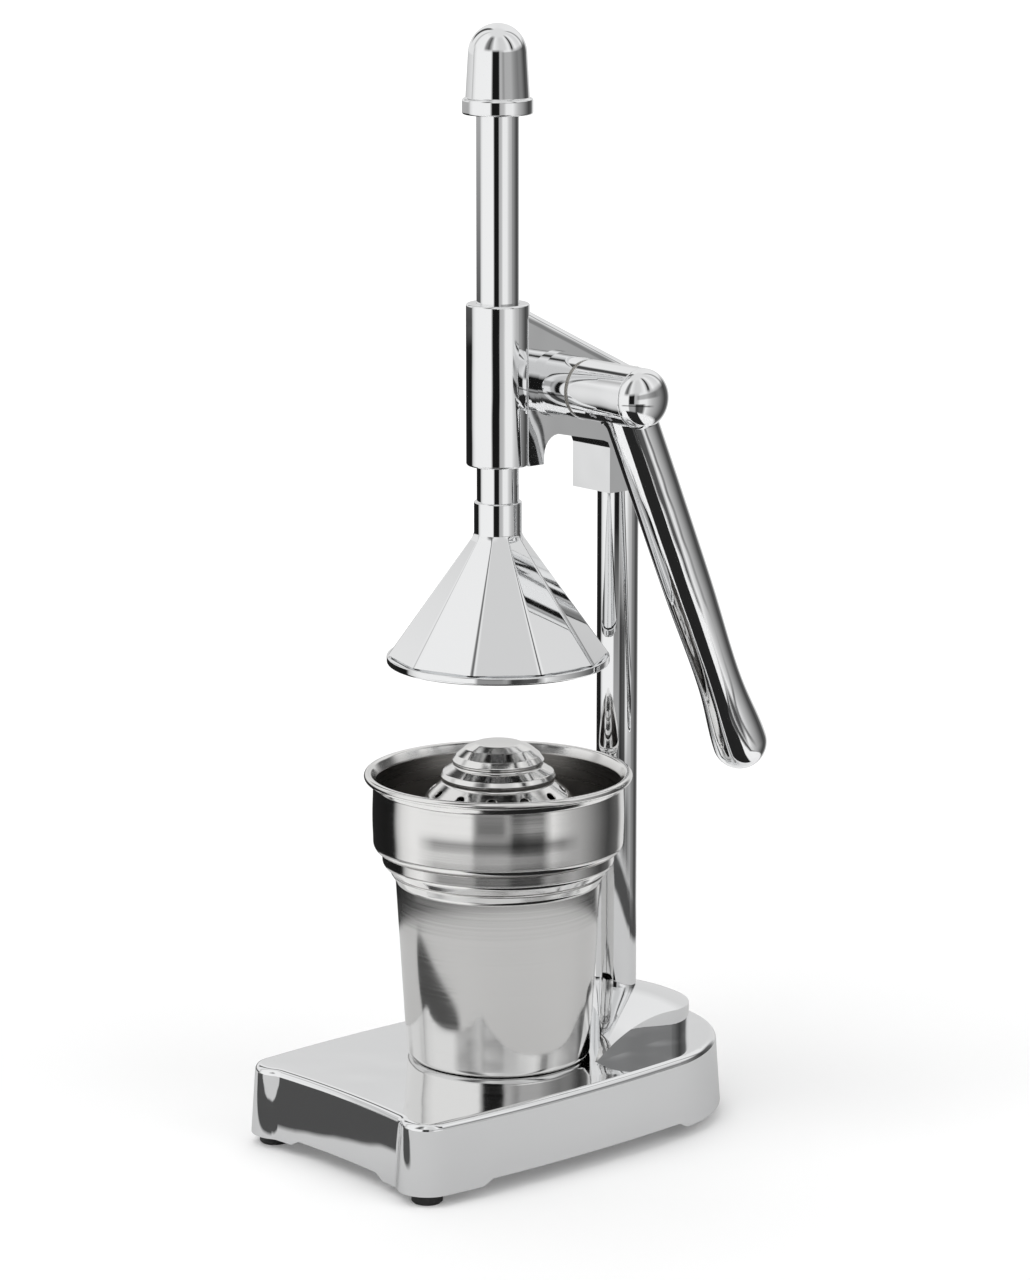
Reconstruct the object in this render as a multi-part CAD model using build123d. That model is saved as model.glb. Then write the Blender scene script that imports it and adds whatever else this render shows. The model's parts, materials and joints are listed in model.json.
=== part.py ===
"""Citrus press juicer with a lever, a rack and gear drive, a press cone, a strainer and a cup.

Sizes are in millimetres. While building, the press axis is the Z axis and the table is Z = 0.
The front is -Y and the lever is on the +X side. At export every piece moves by the same amount,
so that the origin ends up under the middle of the whole object's bounding box.
"""
import math
import os

from build123d import *

os.makedirs("parts", exist_ok=True)

# Clearances
running_gap = 0.05        # radial, between a turning or sliding piece and its bearing
side_gap = 0.4            # between the gear and the walls of its pocket
face_gap = 0.1            # between faces that turn past each other
tooth_play = 0.06         # taken off each flank of the gear teeth and of the rack spaces
skirt_gap = 0.7           # between the strainer's skirt and the cup
cup_gap = 4.1             # between the cup's foot and the hump

# Base casting
deck_z = 29.7
foot_height = 4.2
skirt_lift = 2.0          # how far the skirt is raised between the corner pads
base_half_width = 54.5
side_radius = 620.0
side_mid_y = -15.0
post_radius = 11.0
front_reach = 78.5        # from the press axis to the front of the corner posts
post_end_angle = -128.0
front_dip = 4.0           # how far the front is set back between the posts
rear_reach = 34.0         # from the column to the rear edge
base_wall = 3.0
base_draft = 4.0
deck_fillet = 2.5
post_blend = 5.0          # hollow fillet between a corner post and the front

# Hump behind the cup, which carries the column
hump_half_width = 33.0
hump_taper = 6.0 / 45.0
hump_margin = 7.0         # between the hump and the rear edge of the base
hump_height = 15.5
hump_dome_radius = 75.0
hump_dome_lead = 7.0      # how far the dome's top lies in front of the column

# Rubber feet
foot_radius = 5.5
foot_stem_radius = 2.5
foot_stem_length = 6.0
foot_boss_radius = 6.2
front_foot_lead = 1.8     # in X and in Y, from the middle of a corner post towards the corner
rear_foot_x = 31.0
rear_foot_inset = 21.0

# Column
column_y = 57.0
column_radius = 7.5
column_wall = 1.5
column_seat = 8.5         # depth of the column's foot below the deck
column_boss_radius = 12.0
column_boss_length = 9.0
column_bolt_radius = 4.0
column_plug_length = 22.0
bolt_head_radius = 7.5
bolt_head_height = 5.3
washer_thickness = 1.6

# Cup
cup_height = 68.7
cup_bottom_radius = 33.0
cup_taper = 3.3
cup_flare = 2.7
cup_flare_height = 5.2
cup_wall = 1.0
cup_foot_fillet = 2.0

# Strainer bowl and reamer
bowl_overhang = 5.8       # how far the bowl's wall stands outside the cup's rim
bowl_lift = 7.4           # underside of the bowl's floor above the cup's rim
bowl_depth = 27.2
bowl_wall = 1.0
bowl_bead_radius = 1.4
bowl_bead_reach = 1.8     # from the bowl's wall to the middle of the rolled rim
bowl_corner = 3.5
bowl_step_inset = 3.2
bowl_step_height = 3.4
bowl_skirt_depth = 7.2
bowl_drain_radius = 29.0
reamer_wall = 1.0
reamer_foot_radius = 32.4
reamer_outline = (
    (31.4, 5.4), (28.6, 14.6), (25.4, 19.6), (19.4, 24.6), (20.8, 26.0), (19.8, 27.8),
    (15.6, 30.4), (16.6, 31.8), (15.0, 34.0), (12.0, 36.4), (8.0, 38.0),
)
reamer_crown = 0.4
drain_counts = (12, 12)
drain_radii = (2.1, 2.0)
drain_heights = (8.0, 21.4)
drain_turns = (0.0, 13.5)
drain_lean = 0.2
drain_corners = 8         # the drain holes are punched as small polygons

# Press cone
fruit_room = 29.0         # between the reamer and the cone's rim when the plunger is up
cone_sides = 10
cone_radius = 39.6
cone_lip = 2.8
cone_height = 46.3
cone_neck_radius = 8.5
cone_neck_length = 11.9
cone_wall = 2.6
cone_roof = 7.3           # thickness of the solid metal under the neck
cone_spigot_radius = 5.0
cone_screw_radius = 3.0
screw_head_radius = 5.0
screw_head_height = 3.2
screw_washer = 1.2

# Head casting
free_bar = 12.9           # bar that shows between the cone's neck and the sleeve
sleeve_radius = 11.2
sleeve_length = 57.3
web_half_width = 10.0
web_start_y = 9.8
web_drop = 3.4            # top of the web below the top of the sleeve
web_fall = 23.5           # fall of the web's top edge on the way to the column
web_edge_fillet = 4.5
arch_gap = 1.7
arch_width = 6.5
arch_rise = 10.1
arch_end_rise = 5.4
arch_end_run = 3.0
socket_front = 13.0       # from the column's axis to the flat front of its socket
socket_drop = 14.1        # bottom of the socket below the bottom of the sleeve
socket_radius = 10.3
socket_depth = 32.0
set_screw_radius = 2.5
set_screw_rise = 16.0

# Pivot, with the axis along X
pivot_rise = 27.9         # above the bottom of the sleeve
barrel_radius = 10.8
barrel_end_x = 25.2
collar_radius = 11.8
collar_end_x = 12.4
left_boss_radius = 9.0
left_boss_x = -14.0
shaft_radius = 6.0
shaft_gear_radius = 5.0
shaft_gear_flat = 4.0
shaft_hub_flat = 5.0
shaft_tail_radius = 4.0
thrust_washer_thickness = 0.8

# Rack and gear
gear_module = 1.5
gear_teeth = 18
gear_width = 6.4
pressure_angle = 20.0
rack_depth = 1.5          # pitch line of the rack below the back of the bar
rack_play_width = 0.6     # how much wider the rack spaces are than the gear
rack_spaces_below = 3
rack_spaces_above = 14
gear_pocket_gap = 0.7

# Lever
hub_radius = 10.6
hub_length = 26.9
hub_bore_depth = 20.9
dome_length = 8.0
dome_spigot_radius = 7.5
dome_spigot_length = 4.0
lever_inset = 9.0         # from the lever's axis to the outer end of the hub
lever_length = 144.0
lever_tilt = 23.5         # degrees behind straight down
lever_radii = ((0.0, 9.0), (0.28, 9.0), (0.56, 8.8), (0.84, 8.1), (1.0, 9.8))
lever_screw_radius = 1.6
lever_screw_places = (10.9, 18.9)
lever_screw_angle = 222.0

# Plunger
bar_radius = 7.5
bar_spigot_radius = 6.0
bar_spigot_length = 17.0
bar_above = 65.9          # bar that shows above the sleeve
cap_flange_radius = 12.4
cap_flange_height = 5.6
cap_radius = 11.2
cap_shoulder_radius = 10.3
cap_shoulder_height = 20.7
cap_height = 31.3

# Heights from the table up, in the order in which the pieces stack
cup_rim_z = deck_z + cup_height
cup_neck_z = cup_rim_z - cup_flare_height
bowl_floor_z = cup_rim_z + bowl_lift
floor_top_z = bowl_floor_z + bowl_wall
bowl_rim_z = bowl_floor_z + bowl_depth
bowl_skirt_z = cup_rim_z - bowl_skirt_depth
reamer_top_z = floor_top_z + reamer_outline[-1][1] + reamer_crown
cone_rim_z = reamer_top_z + fruit_room
cone_neck_bottom_z = cone_rim_z + cone_height
cone_neck_top_z = cone_neck_bottom_z + cone_neck_length
cone_ceiling_z = cone_neck_bottom_z - cone_roof
sleeve_bottom_z = cone_neck_top_z + free_bar
sleeve_top_z = sleeve_bottom_z + sleeve_length
pivot_z = sleeve_bottom_z + pivot_rise
web_top_z = sleeve_top_z - web_drop
arch_z = sleeve_bottom_z + arch_rise
arch_end_z = sleeve_bottom_z + arch_end_rise
socket_bottom_z = sleeve_bottom_z - socket_drop
set_screw_z = socket_bottom_z + set_screw_rise
column_floor_z = deck_z - column_seat
column_boss_z = column_floor_z - column_boss_length
column_top_z = socket_bottom_z + socket_depth
hump_top_z = deck_z + hump_height
cap_bottom_z = sleeve_top_z + bar_above
cap_shoulder_z = cap_bottom_z + cap_shoulder_height
cap_top_z = cap_bottom_z + cap_height

# Other sizes that several pieces share
cup_top_radius = cup_bottom_radius + cup_taper
cup_rim_radius = cup_top_radius + cup_flare
bowl_radius = cup_rim_radius + bowl_overhang
bowl_rim_radius = bowl_radius + bowl_bead_reach
bowl_step_radius = bowl_radius - bowl_step_inset
bowl_skirt_radius = cup_top_radius - cup_wall - skirt_gap
pitch_radius = gear_module * gear_teeth / 2
tip_radius = pitch_radius + gear_module
root_radius = pitch_radius - 1.25 * gear_module
rack_line_y = bar_radius - rack_depth
pivot_y = rack_line_y + pitch_radius
tooth_pitch = math.pi * gear_module
pocket_radius = tip_radius + gear_pocket_gap
pocket_half_width = gear_width / 2 + side_gap
web_slope = web_fall / (column_y - web_start_y)
arch_wall_y = sleeve_radius + arch_gap
arch_y = arch_wall_y + arch_width
socket_front_y = column_y - socket_front
arch_end_y = socket_front_y - arch_end_run
hub_start_x = barrel_end_x + thrust_washer_thickness + face_gap
hub_end_x = hub_start_x + hub_length
hub_bore_end_x = hub_start_x + hub_bore_depth
lever_x = hub_end_x - lever_inset
dome_end_x = hub_end_x + dome_length
post_front_y = -front_reach
front_y = post_front_y + front_dip
rear_y = column_y + rear_reach
rear_foot_y = rear_y - rear_foot_inset
hump_rear_y = rear_y - hump_margin
hump_dome_y = column_y - hump_dome_lead
hump_front_radius = cup_bottom_radius + cup_gap
hump_tip = (hump_half_width, math.sqrt(hump_front_radius ** 2 - hump_half_width ** 2))
side_centre_x = base_half_width - side_radius
post_y = post_front_y + post_radius
post_x = side_centre_x + math.sqrt((side_radius - post_radius) ** 2 - (post_y - side_mid_y) ** 2)
front_foot_x = post_x + front_foot_lead
front_foot_y = post_y - front_foot_lead
shift_x = -(dome_end_x - base_half_width) / 2
shift_y = -(rear_y + post_front_y) / 2
far = 2 * cap_top_z       # longer than the whole press, for cuts that run right through
pieces = {}


def keep(name, shape):
    """Store a piece under its node name, moved so that the origin is under the middle of the object."""
    pieces[name] = Pos(shift_x, shift_y, 0) * shape


def rod(radius, start, end):
    """Cylinder between two points."""
    a = Vector(*start)
    b = Vector(*end)
    return Solid.make_cylinder(radius, (b - a).length, Plane(a, z_dir=b - a))


def slab(x0, x1, y0, y1, z0, z1):
    """Box between two corners."""
    return Pos((x0 + x1) / 2, (y0 + y1) / 2, (z0 + z1) / 2) * Box(x1 - x0, y1 - y0, z1 - z0)


def turned(points):
    """Solid of revolution about Z from a closed outline of (radius, height) points."""
    wire = Wire.make_polygon([Vector(r, 0, z) for r, z in points], close=True)
    return revolve(Face(wire), Axis.Z)


def turned_edges(edges):
    """Solid of revolution about Z from the edges of a closed outline in the XZ plane."""
    return revolve(Face(Wire(edges)), Axis.Z)


def prism(points, plane, amount):
    """Straight extrusion, to both sides, of a closed polygon drawn in a plane."""
    wire = Wire.make_polygon([plane.from_local_coords(Vector(*p)) for p in points], close=True)
    return extrude(Face(wire), amount=amount, dir=plane.z_dir, both=True)


def mirrored(point):
    """The same point on the other side of the middle plane X = 0."""
    return (-point[0], point[1])


def base_outline(inset, z):
    """Plan outline of the base at height z, drawn in by inset: posts, bowed sides, round rear."""
    side_r = side_radius - inset
    post_r = post_radius - inset
    reach = side_radius - rear_y
    rear_c = (side_centre_x ** 2 + side_mid_y ** 2 - reach ** 2) / (2 * reach + 2 * side_mid_y)
    rear_r = rear_y - rear_c - inset
    to_post = Vector(post_x - side_centre_x, post_y - side_mid_y, 0).normalized()
    to_rear = Vector(-side_centre_x, rear_c - side_mid_y, 0).normalized()
    side_a = (side_centre_x + side_r * to_post.X, side_mid_y + side_r * to_post.Y)
    side_b = (side_centre_x + side_r * to_rear.X, side_mid_y + side_r * to_rear.Y)
    side_m = (side_centre_x + side_r, side_mid_y)
    end = math.radians(post_end_angle)
    start = math.atan2(to_post.Y, to_post.X)
    middle = (end + start) / 2
    post_end = (post_x + post_r * math.cos(end), post_y + post_r * math.sin(end))
    post_m = (post_x + post_r * math.cos(middle), post_y + post_r * math.sin(middle))
    front_m = (0.0, front_y + inset)
    rear_m = (0.0, rear_c + rear_r)
    stops = (
        (mirrored(post_end), front_m, post_end),
        (post_end, post_m, side_a),
        (side_a, side_m, side_b),
        (side_b, rear_m, mirrored(side_b)),
        (mirrored(side_b), mirrored(side_m), mirrored(side_a)),
        (mirrored(side_a), mirrored(post_m), mirrored(post_end)),
    )
    outline = Face(Wire([ThreePointArc(*[(x, y, z) for x, y in stop]) for stop in stops]))
    corners = outline.vertices().filter_by(lambda v: abs(v.X) < post_x and v.Y < post_y)
    return outline.fillet_2d(post_blend + inset, corners)


def hump_outline(inset, z):
    """Plan outline of the hump: a hollow front around the cup, two sloping sides and a round rear."""
    normal = Vector(1.0, hump_taper, 0).normalized()
    along = Vector(-normal.Y, normal.X, 0)
    tip = Vector(hump_tip[0], hump_tip[1], 0)
    front_r = tip.length + inset
    off = normal.dot(tip) - inset
    corner = normal * off + along * math.sqrt(front_r ** 2 - off ** 2)
    rear_c = (hump_rear_y - normal.dot(tip)) / (1 - normal.Y)
    rear_r = hump_rear_y - rear_c - inset
    tangent = Vector(0, rear_c, 0) + normal * rear_r
    edges = [
        ThreePointArc((-corner.X, corner.Y, z), (0, front_r, z), (corner.X, corner.Y, z)),
        Line((corner.X, corner.Y, z), (tangent.X, tangent.Y, z)),
        ThreePointArc((tangent.X, tangent.Y, z), (0, rear_c + rear_r, z), (-tangent.X, tangent.Y, z)),
        Line((-tangent.X, tangent.Y, z), (-corner.X, corner.Y, z)),
    ]
    return Face(Wire(edges))


def hump_body(inset, start_z):
    """The hump as an upright block cut off by a shallow dome."""
    block = extrude(hump_outline(inset, start_z), amount=hump_top_z - start_z + 5, dir=(0, 0, 1))
    ball = Pos(0, hump_dome_y, hump_top_z - hump_dome_radius) * Sphere(hump_dome_radius - inset)
    return block & ball


foot_spots = {
    "foot_front_left": (-front_foot_x, front_foot_y),
    "foot_front_right": (front_foot_x, front_foot_y),
    "foot_rear_left": (-rear_foot_x, rear_foot_y),
    "foot_rear_right": (rear_foot_x, rear_foot_y),
}

# Base: a hollow shell with a flat deck, a hump for the column and bosses for the feet
skirt_height = deck_z - foot_height
base = extrude(base_outline(0, foot_height), amount=skirt_height, dir=(0, 0, 1), taper=base_draft)
deck_edges = base.faces().sort_by(Axis.Z)[-1].edges()
base = fillet(deck_edges, deck_fillet)
base += hump_body(0, deck_z - base_wall)
hollow_face = base_outline(base_wall, foot_height)
base -= extrude(hollow_face, amount=skirt_height - base_wall, dir=(0, 0, 1), taper=base_draft)
base -= hump_body(base_wall, deck_z - base_wall)
boss_top_z = deck_z - base_wall / 2
for x, y in foot_spots.values():
    base += rod(foot_boss_radius, (x, y, foot_height), (x, y, boss_top_z))
base += rod(column_boss_radius, (0, column_y, column_boss_z), (0, column_y, hump_top_z - base_wall))
lift_z = foot_height + skirt_lift
low_z = foot_height - 1
pad_side_y = post_y + 1.4 * post_radius
rear_pad_y = rear_foot_y - 2.2 * post_radius
ramp = 2 * skirt_lift
side_cut = ((pad_side_y - ramp / 2, low_z), (pad_side_y + ramp, lift_z))
side_cut += ((rear_pad_y - ramp, lift_z), (rear_pad_y + ramp / 2, low_z))
side_strip = prism(side_cut, Plane.YZ, far)
outside_x = base_half_width - 2 * post_radius
strip_top_z = 2 * lift_z
side_blocks = slab(outside_x, far, -far, far, 0, strip_top_z)
side_blocks += slab(-far, -outside_x, -far, far, 0, strip_top_z)
base -= side_strip & side_blocks
end_half = post_x - 1.4 * post_radius
front_cut = ((-end_half - ramp / 2, low_z), (-end_half + ramp, lift_z))
front_cut += ((end_half - ramp, lift_z), (end_half + ramp / 2, low_z))
front_strip = prism(front_cut, Plane.XZ, far)
base -= front_strip & slab(-far, far, -far, post_y, 0, strip_top_z)
rear_half = rear_foot_x - 1.0 * post_radius
rear_cut = ((-rear_half - ramp / 2, low_z), (-rear_half + ramp, lift_z))
rear_cut += ((rear_half - ramp, lift_z), (rear_half + ramp / 2, low_z))
rear_strip = prism(rear_cut, Plane.XZ, far)
base -= rear_strip & slab(-far, far, rear_foot_y, far, 0, strip_top_z)
for x, y in foot_spots.values():
    base -= rod(foot_stem_radius, (x, y, 0), (x, y, foot_height + foot_stem_length))
base -= rod(column_radius, (0, column_y, column_floor_z), (0, column_y, far))
base -= rod(column_bolt_radius + 0.2, (0, column_y, 0), (0, column_y, hump_top_z))
keep("base_casting", base)

# Rubber feet, pushed into the bosses by their stems
for name, (x, y) in foot_spots.items():
    pad = Cylinder(foot_radius, foot_height, align=(Align.CENTER, Align.CENTER, Align.MIN))
    pad = chamfer(pad.edges().group_by(Axis.Z)[0], 0.6)
    stem = rod(foot_stem_radius, (0, 0, foot_height - 0.5), (0, 0, foot_height + foot_stem_length))
    keep(name, Pos(x, y, 0) * (pad + stem))

# Column, with a threaded plug, a bolt and a washer under the base
tube = rod(column_radius, (0, column_y, column_floor_z), (0, column_y, column_top_z))
tube -= rod(column_radius - column_wall, (0, column_y, 0), (0, column_y, far))
keep("column_tube", tube)
plug_top_z = column_floor_z + column_plug_length
plug = rod(column_radius - column_wall, (0, column_y, column_floor_z), (0, column_y, plug_top_z))
plug -= rod(column_bolt_radius, (0, column_y, 0), (0, column_y, plug_top_z - 4))
keep("column_plug", plug)
washer_z = column_boss_z - washer_thickness
washer = rod(column_boss_radius - 2.5, (0, column_y, washer_z), (0, column_y, column_boss_z))
washer -= rod(column_bolt_radius + 0.2, (0, column_y, 0), (0, column_y, hump_top_z))
keep("column_washer", washer)
head_face = Pos(0, column_y, washer_z - bolt_head_height) * RegularPolygon(bolt_head_radius, 6)
bolt = extrude(head_face, amount=bolt_head_height)
bolt += rod(column_bolt_radius, (0, column_y, washer_z), (0, column_y, plug_top_z - 6))
keep("column_bolt", bolt)


def web_top(y):
    """Height of the web's sloping top edge."""
    return web_top_z - web_slope * (y - web_start_y)


# Head casting: guide sleeve, web with an arch, column socket, gear pocket and pivot barrel
yz = Plane.YZ
web_root_y = sleeve_radius / 2
arch_spring_z = sleeve_bottom_z + 0.3 * arch_rise
web_points = [
    (web_root_y, web_top(web_root_y)), (web_root_y, sleeve_bottom_z), (arch_wall_y, sleeve_bottom_z),
]
for step in range(7):
    turn = math.radians(90 - 15 * step)
    web_points.append((
        arch_y - (arch_y - arch_wall_y) * math.sin(turn),
        arch_spring_z + (arch_z - arch_spring_z) * math.cos(turn),
    ))
web_points += [
    (arch_end_y, arch_end_z), (socket_front_y - 0.3 * arch_end_run, arch_end_z - 0.3 * arch_end_run),
    (socket_front_y, arch_end_z - arch_end_run),
    (socket_front_y, socket_bottom_z), (column_y, socket_bottom_z), (column_y, web_top(column_y)),
]
web = prism(web_points, yz, web_half_width)
top_edges = web.edges().filter_by(lambda e: (e @ 0.5).Z > web_top(column_y)).filter_by(
    lambda e: abs((e % 0.5).X) < 0.01 and abs((e % 0.5).Y) > 0.5 and abs((e @ 0.5).X) > 1)
web = fillet(top_edges, web_edge_fillet)
column_sleeve = rod(socket_radius, (0, column_y, socket_bottom_z), (0, column_y, web_top(column_y)))
slope_front_y = column_y - 2 * socket_radius
slope_rear_y = column_y + 2 * socket_radius
rear_slope = prism(
    ((slope_front_y, web_top(slope_front_y)), (slope_rear_y, web_top(slope_rear_y)),
     (slope_rear_y, cap_top_z), (slope_front_y, cap_top_z)), yz, 2 * socket_radius)
column_sleeve -= rear_slope
sleeve = rod(sleeve_radius, (0, 0, sleeve_bottom_z), (0, 0, sleeve_top_z))
sleeve = fillet(sleeve.edges().filter_by(GeomType.CIRCLE), 0.8)
head = web + column_sleeve + sleeve
head += rod(barrel_radius, (0, pivot_y, pivot_z), (barrel_end_x, pivot_y, pivot_z))
head += rod(collar_radius, (0, pivot_y, pivot_z), (collar_end_x, pivot_y, pivot_z))
head += rod(left_boss_radius, (0, pivot_y, pivot_z), (left_boss_x, pivot_y, pivot_z))
pocket = rod(pocket_radius, (-pocket_half_width, pivot_y, pivot_z), (pocket_half_width, pivot_y, pivot_z))
pocket += slab(
    -pocket_half_width, pocket_half_width, pivot_y - pocket_radius, pivot_y + pocket_radius,
    0, pivot_z)
head -= pocket
head -= rod(bar_radius + running_gap, (0, 0, 0), (0, 0, far))
head -= rod(shaft_radius + running_gap, (0, pivot_y, pivot_z), (far, pivot_y, pivot_z))
head -= rod(shaft_tail_radius + running_gap, (0, pivot_y, pivot_z), (-far, pivot_y, pivot_z))
head -= rod(column_radius, (0, column_y, 0), (0, column_y, column_top_z))
screw_start = (0, column_y + column_radius, set_screw_z)
screw_end = (0, column_y + socket_radius + 0.6, set_screw_z)
head -= rod(set_screw_radius, (0, column_y, set_screw_z), (0, far, set_screw_z))
keep("head_casting", head)

grub = rod(set_screw_radius, screw_start, screw_end)
grub -= extrude(
    Plane(screw_end, z_dir=(0, -1, 0)) * RegularPolygon(1.4, 6), amount=1.6)
keep("head_set_screw", grub)

collar = rod(barrel_radius - 0.6, (barrel_end_x, pivot_y, pivot_z),
             (barrel_end_x + thrust_washer_thickness, pivot_y, pivot_z))
collar -= rod(shaft_radius + running_gap, (0, pivot_y, pivot_z), (hub_end_x, pivot_y, pivot_z))
keep("thrust_washer", collar)


def tooth_points(turn):
    """Outline of one gear tooth about the pivot, from its root on one side to its root on the other."""
    base_r = pitch_radius * math.cos(math.radians(pressure_angle))
    tan_a = math.tan(math.radians(pressure_angle))
    half = math.pi / (2 * gear_teeth) - tooth_play / pitch_radius
    flank_start = half + tan_a - math.radians(pressure_angle)
    flank = [(root_radius, flank_start + 0.012)]
    for step in range(6):
        r = base_r + (tip_radius - base_r) * step / 5
        roll = math.sqrt(max((r / base_r) ** 2 - 1, 0.0))
        flank.append((r, flank_start - (roll - math.atan(roll))))
    outline = [(r, turn - a) for r, a in flank] + [(r, turn + a) for r, a in reversed(flank)]
    return [(pivot_y + r * math.cos(a), pivot_z + r * math.sin(a)) for r, a in outline]


gear_points = []
for number in range(gear_teeth):
    gear_points += tooth_points(math.pi + 2 * math.pi * number / gear_teeth)
gear = prism(gear_points, yz, gear_width / 2)
flat_z = pivot_z + shaft_gear_flat
gear_bore = rod(shaft_gear_radius, (-gear_width, pivot_y, pivot_z), (gear_width, pivot_y, pivot_z))
gear_bore -= slab(-far, far, -far, far, flat_z, far)
keep("drive_gear", gear - gear_bore)

# Shaft: tail, flatted seat for the gear, bearing and flatted end for the hub
half_gear = gear_width / 2
tail_end_x = left_boss_x - face_gap
shaft = rod(shaft_tail_radius, (tail_end_x, pivot_y, pivot_z), (0, pivot_y, pivot_z))
seat = rod(shaft_gear_radius, (-half_gear, pivot_y, pivot_z), (half_gear, pivot_y, pivot_z))
shaft += seat - slab(-far, far, -far, far, flat_z, far)
bearing = rod(shaft_radius, (half_gear, pivot_y, pivot_z), (hub_bore_end_x, pivot_y, pivot_z))
hub_flat_z = pivot_z + shaft_hub_flat
shaft += bearing - slab(hub_start_x, far, -far, far, hub_flat_z, far)
tail_screw_radius = shaft_tail_radius / 2
shaft -= rod(tail_screw_radius, (tail_end_x - 1, pivot_y, pivot_z), (tail_end_x + 9, pivot_y, pivot_z))
keep("gear_shaft", shaft)
end_washer_x = tail_end_x - 1.2
end_washer = rod(left_boss_radius - 1.2, (end_washer_x, pivot_y, pivot_z), (tail_end_x, pivot_y, pivot_z))
end_washer -= rod(tail_screw_radius, (-far, pivot_y, pivot_z), (0, pivot_y, pivot_z))
keep("shaft_end_washer", end_washer)
end_screw = rod(4.0, (end_washer_x - 3, pivot_y, pivot_z), (end_washer_x, pivot_y, pivot_z))
end_screw = fillet(end_screw.edges().group_by(Axis.X)[0], 1.2)
end_screw += rod(tail_screw_radius, (end_washer_x, pivot_y, pivot_z), (tail_end_x + 8, pivot_y, pivot_z))
slot_x = end_washer_x - 3
end_screw -= slab(slot_x - 1, slot_x + 1, pivot_y - 0.5, pivot_y + 0.5, pivot_z - 6, pivot_z + 6)
keep("shaft_end_screw", end_screw)

# Dome that closes the hub's outer end, with a spigot pressed into the hub
dome_arc = Spline([(hub_radius, 0, 0), (0, 0, dome_length)], tangents=[(0, 0, 1), (-1, 0, 0)])
dome_edges = [Line((0, 0, 0), (hub_radius, 0, 0)), dome_arc, Line((0, 0, dome_length), (0, 0, 0))]
dome = turned_edges(dome_edges)
dome += rod(dome_spigot_radius, (0, 0, -dome_spigot_length), (0, 0, 0.5))
dome = Pos(hub_end_x, pivot_y, pivot_z) * Rot(Y=90) * dome
keep("hub_dome_cap", dome)

# Lever: hub with a round arm that swells to a bulb, made in one piece
hub = rod(hub_radius, (hub_start_x, pivot_y, pivot_z), (hub_end_x, pivot_y, pivot_z))
hub = fillet(hub.edges().group_by(Axis.X)[0], 0.6)
bulb_radius = lever_radii[-1][1]
arm_line = Spline([(r, 0, -s * lever_length) for s, r in lever_radii], tangents=[(0, 0, -1), (0, 0, -1)])
arm_end = (bulb_radius, 0, -lever_length)
arm_tip = (0, 0, -lever_length - bulb_radius)
bulb_middle = (bulb_radius * math.sqrt(0.5), 0, -lever_length - bulb_radius * math.sqrt(0.5))
arm_edges = [
    Line((0, 0, 0), (lever_radii[0][1], 0, 0)), arm_line, ThreePointArc(arm_end, bulb_middle, arm_tip),
    Line(arm_tip, (0, 0, 0)),
]
arm = Pos(lever_x, pivot_y, pivot_z) * Rot(X=lever_tilt) * turned_edges(arm_edges)
lever = hub + arm
hub_bore = rod(shaft_radius, (0, pivot_y, pivot_z), (hub_bore_end_x, pivot_y, pivot_z))
hub_bore -= slab(hub_start_x, far, -far, far, hub_flat_z, far)
lever -= hub_bore
lever -= dome
screw_dir = Vector(0, math.cos(math.radians(lever_screw_angle)), math.sin(math.radians(lever_screw_angle)))
for number, place in enumerate(lever_screw_places, 1):
    x = hub_start_x + place
    inner = Vector(x, pivot_y, pivot_z) + screw_dir * shaft_radius
    outer = Vector(x, pivot_y, pivot_z) + screw_dir * (hub_radius - 0.5)
    lever -= rod(lever_screw_radius, inner, outer + screw_dir * 5)
    screw = rod(lever_screw_radius, inner, outer)
    screw -= extrude(Plane(outer, z_dir=-screw_dir) * RegularPolygon(0.9, 6), amount=0.8)
    keep(f"hub_set_screw_{number}", screw)
keep("lever_handle", lever)

# Plunger bar with the rack milled into its back
bar_bottom_z = cone_neck_top_z
bar = rod(bar_radius, (0, 0, bar_bottom_z), (0, 0, cap_bottom_z))
bar += rod(bar_spigot_radius, (0, 0, cap_bottom_z), (0, 0, cap_bottom_z + bar_spigot_length))
bar += rod(cone_spigot_radius, (0, 0, cone_ceiling_z), (0, 0, bar_bottom_z))
rack_half_width = (gear_width + rack_play_width) / 2
rack_root_y = rack_line_y - 1.25 * gear_module
rack_crest_y = bar_radius + 1
tan_a = math.tan(math.radians(pressure_angle))
space_half = tooth_pitch / 4 + tooth_play
for number in range(-rack_spaces_below, rack_spaces_above + 1):
    z = pivot_z + number * tooth_pitch
    low = space_half - (rack_line_y - rack_root_y) * tan_a
    high = space_half + (rack_crest_y - rack_line_y) * tan_a
    space = ((rack_root_y, z - low), (rack_crest_y, z - high))
    space += ((rack_crest_y, z + high), (rack_root_y, z + low))
    bar -= prism(space, yz, rack_half_width)
bar -= rod(cone_screw_radius, (0, 0, cone_ceiling_z - 1), (0, 0, cone_ceiling_z + 14))
keep("plunger_rack", bar)

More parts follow.
